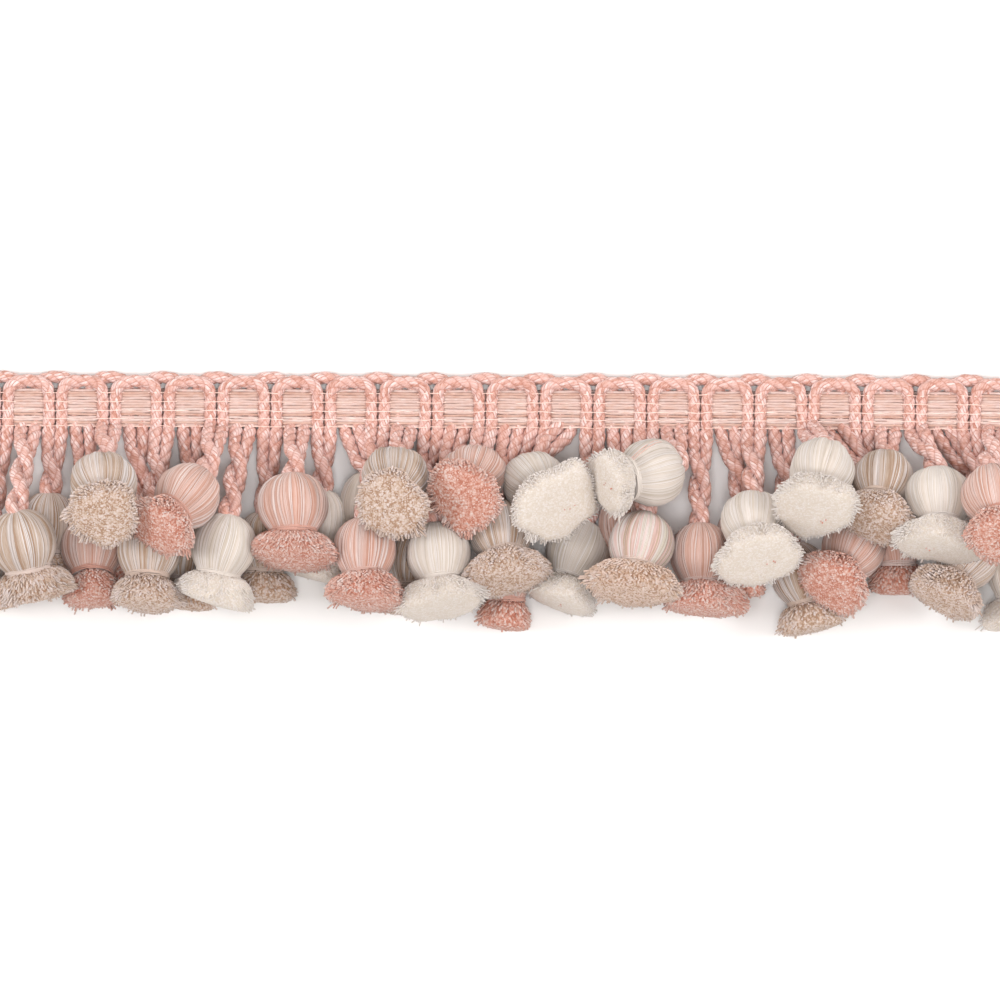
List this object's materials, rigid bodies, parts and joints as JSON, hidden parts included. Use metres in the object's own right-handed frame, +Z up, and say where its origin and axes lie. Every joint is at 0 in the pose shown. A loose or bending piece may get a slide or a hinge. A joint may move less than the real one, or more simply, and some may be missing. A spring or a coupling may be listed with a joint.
{
  "type": "tassel fringe trim",
  "caption": "Cut length of woven tassel fringe: a corded heading with looped cords that carry ball-topped brush tassels, laid flat.",
  "frame": {"origin": "middle of the heading's flat back, on the surface that the trim lies on", "axes": "+X along the trim, +Y from the tassels to the heading's top edge, +Z up from the surface through the trim"},
  "size_m": [0.2658, 0.0632, 0.0415],
  "materials": {
    "cream": "matte dyed yarn",
    "sand": "matte dyed yarn",
    "rose": "matte dyed yarn",
    "mixed": "matte dyed yarn",
    "blush_cord": "matte dyed yarn",
    "blush_warp": "matte dyed yarn"
  },
  "bodies": {
    "root": {"tape": "blush_warp", "front_cord": "blush_cord", "rear_cord": "blush_cord", "tassel_01": "cream", "tassel_02": "sand", "tassel_03": "sand", "tassel_04": "sand", "tassel_05": "rose", "tassel_06": "sand", "tassel_07": "rose", "tassel_08": "sand", "tassel_09": "sand", "tassel_10": "rose", "tassel_11": "cream", "tassel_12": "sand", "tassel_13": "rose", "tassel_14": "cream", "tassel_15": "cream", "tassel_16": "rose", "tassel_17": "sand", "tassel_18": "sand", "tassel_19": "cream", "tassel_20": "rose", "tassel_21": "sand", "tassel_22": "rose", "tassel_23": "cream", "tassel_24": "cream", "tassel_25": "rose", "tassel_26": "mixed", "tassel_27": "cream", "tassel_28": "rose", "tassel_29": "rose", "tassel_30": "cream", "tassel_31": "sand", "tassel_32": "cream", "tassel_33": "rose", "tassel_34": "rose", "tassel_35": "sand", "tassel_36": "cream", "tassel_37": "cream", "tassel_38": "sand", "tassel_39": "rose"}
  },
  "joints": []
}
